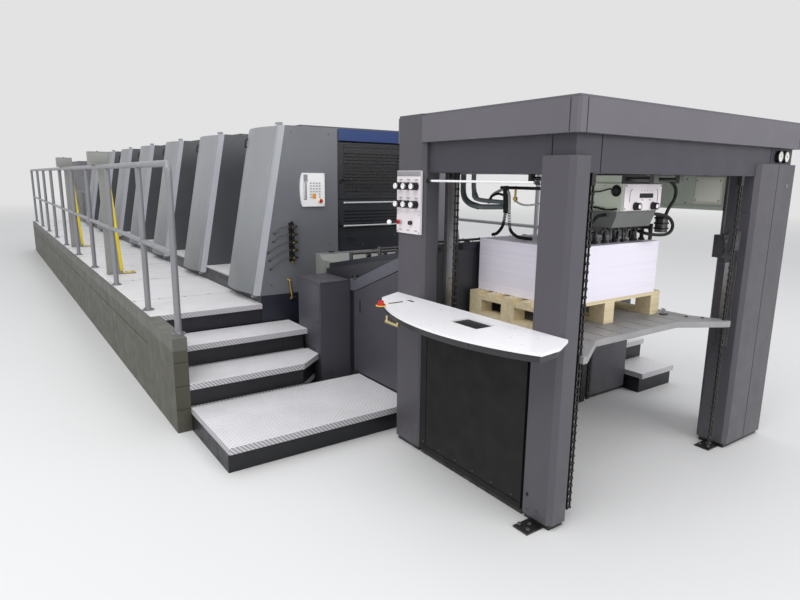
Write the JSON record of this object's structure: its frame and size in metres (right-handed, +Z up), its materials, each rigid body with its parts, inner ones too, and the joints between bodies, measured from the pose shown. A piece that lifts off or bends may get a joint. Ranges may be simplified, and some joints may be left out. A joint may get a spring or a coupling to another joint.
{
  "type": "offset printing press",
  "caption": "Sheet-fed offset press with pile feeder gantry, leaning hinged side covers, raised checker plate galleries with handrails, and a closed delivery.",
  "frame": {"origin": "centre of the bounding box's base, on the floor", "axes": "+Y along the machine from the feeder to the delivery, +X towards the drive side, +Z up"},
  "size_m": [3.84, 15.6294, 2.028],
  "materials": {
    "feeder_paint": "satin",
    "dark_panel": "satin",
    "black_steel": "satin",
    "black_panel": "satin",
    "white_plastic": "gloss",
    "red_plastic": "gloss",
    "control_face": "matt",
    "black_plastic": "matt",
    "gauge_face": "matt",
    "chain_steel": "oiled",
    "bright_steel": "brushed",
    "pale_green_paint": "satin",
    "black_rubber": "matt",
    "platform_steel": "satin",
    "pallet_wood": "raw",
    "white_paper": "matt",
    "grey_paint": "satin",
    "band_paint": "satin",
    "navy_paint": "satin",
    "unit_paint": "satin",
    "checker_plate": "five-bar pattern",
    "guard_grey": "satin",
    "skirt_paint": "satin",
    "rail_steel": "satin",
    "screen_paint": "satin",
    "cover_silver": "metallic satin"
  },
  "bodies": {
    "root": {"feeder_head_cover": "feeder_paint", "feeder_header": "dark_panel", "pillar_front_left": "feeder_paint", "pillar_rear_left": "feeder_paint", "pillar_front_right": "feeder_paint", "pillar_rear_right": "dark_panel", "plinths": "black_steel", "desk_side_panel": "black_panel", "console_desk": "white_plastic", "desk_controls": "red_plastic", "feeder_control_panel": "control_face", "control_knobs": "black_plastic", "pressure_gauges": "gauge_face", "lift_chains": "chain_steel", "chain_guides": "bright_steel", "light_bar": "white_plastic", "head_carrier": "black_steel", "drive_inner_panel": "pale_green_paint", "infeed_frame": "black_steel", "feed_table": "dark_panel", "feed_drum_cover": "grey_paint", "infeed_sides": "band_paint", "drive_housing": "dark_panel", "operator_cabinet": "dark_panel", "press_base": "navy_paint", "towers": "unit_paint", "unit_bridges": "dark_panel", "cover_hinge_lugs": "black_steel", "drive_covers": "cover_silver", "bridge_treads": "checker_plate", "unit_guards": "guard_grey", "front_guard_field": "guard_grey", "unit_control_panel": "control_face", "air_valve_block": "black_plastic", "gallery_decks": "checker_plate", "gallery_skirts": "skirt_paint", "operator_steps": "checker_plate", "drive_steps": "checker_plate", "operator_handrail": "rail_steel", "drive_handrail": "rail_steel", "gallery_screens": "screen_paint", "delivery_housing": "dark_panel", "delivery_hood": "feeder_paint"},
    "pile": {"pile_platform": "platform_steel", "pallet": "pallet_wood", "paper_pile": "white_paper"},
    "head": {"suction_head": "pale_green_paint", "head_control_face": "control_face", "suckers": "black_rubber", "head_hoses": "black_rubber"},
    "door": {"side_door": "dark_panel"},
    "guard": {"front_guard": "guard_grey"},
    "cover_1": {"cover_1": "cover_silver"},
    "cover_2": {"cover_2": "cover_silver"},
    "cover_3": {"cover_3": "cover_silver"},
    "cover_4": {"cover_4": "cover_silver"},
    "cover_5": {"cover_5": "cover_silver"},
    "cover_6": {"cover_6": "cover_silver"},
    "cover_7": {"cover_7": "cover_silver"}
  },
  "joints": [
    {"name": "pile_lift", "type": "slide", "parent": "root", "child": "pile", "axis": [0, 0, 1], "range_m": [-0.74, 0]},
    {"name": "head_format", "type": "slide", "parent": "root", "child": "head", "axis": [0, 1, 0], "range_m": [-0.1, 0.22]},
    {"name": "door_hinge", "type": "hinge", "parent": "root", "child": "door", "pos_m": [-0.565, -6.412, 0.6], "axis": [0, 0, 1], "range_deg": [0, 85]},
    {"name": "guard_hinge", "type": "hinge", "parent": "root", "child": "guard", "pos_m": [0, -4.876, 1.886], "axis": [-1, 0, 0], "range_deg": [0, 75]},
    {"name": "cover_1_hinge", "type": "hinge", "parent": "root", "child": "cover_1", "pos_m": [-1.0733, -4.82, 0.67684], "axis": [0.1861, 0, 0.9825], "range_deg": [0, 90]},
    {"name": "cover_2_hinge", "type": "hinge", "parent": "root", "child": "cover_2", "pos_m": [-1.0733, -3.43, 0.67684], "axis": [0.1861, 0, 0.9825], "range_deg": [0, 90]},
    {"name": "cover_3_hinge", "type": "hinge", "parent": "root", "child": "cover_3", "pos_m": [-1.0733, -2.04, 0.67684], "axis": [0.1861, 0, 0.9825], "range_deg": [0, 90]},
    {"name": "cover_4_hinge", "type": "hinge", "parent": "root", "child": "cover_4", "pos_m": [-1.0733, -0.65, 0.67684], "axis": [0.1861, 0, 0.9825], "range_deg": [0, 90]},
    {"name": "cover_5_hinge", "type": "hinge", "parent": "root", "child": "cover_5", "pos_m": [-1.0733, 0.74, 0.67684], "axis": [0.1861, 0, 0.9825], "range_deg": [0, 90]},
    {"name": "cover_6_hinge", "type": "hinge", "parent": "root", "child": "cover_6", "pos_m": [-1.0733, 2.13, 0.67684], "axis": [0.1861, 0, 0.9825], "range_deg": [0, 90]},
    {"name": "cover_7_hinge", "type": "hinge", "parent": "root", "child": "cover_7", "pos_m": [-1.0733, 3.52, 0.67684], "axis": [0.1861, 0, 0.9825], "range_deg": [0, 90]}
  ]
}
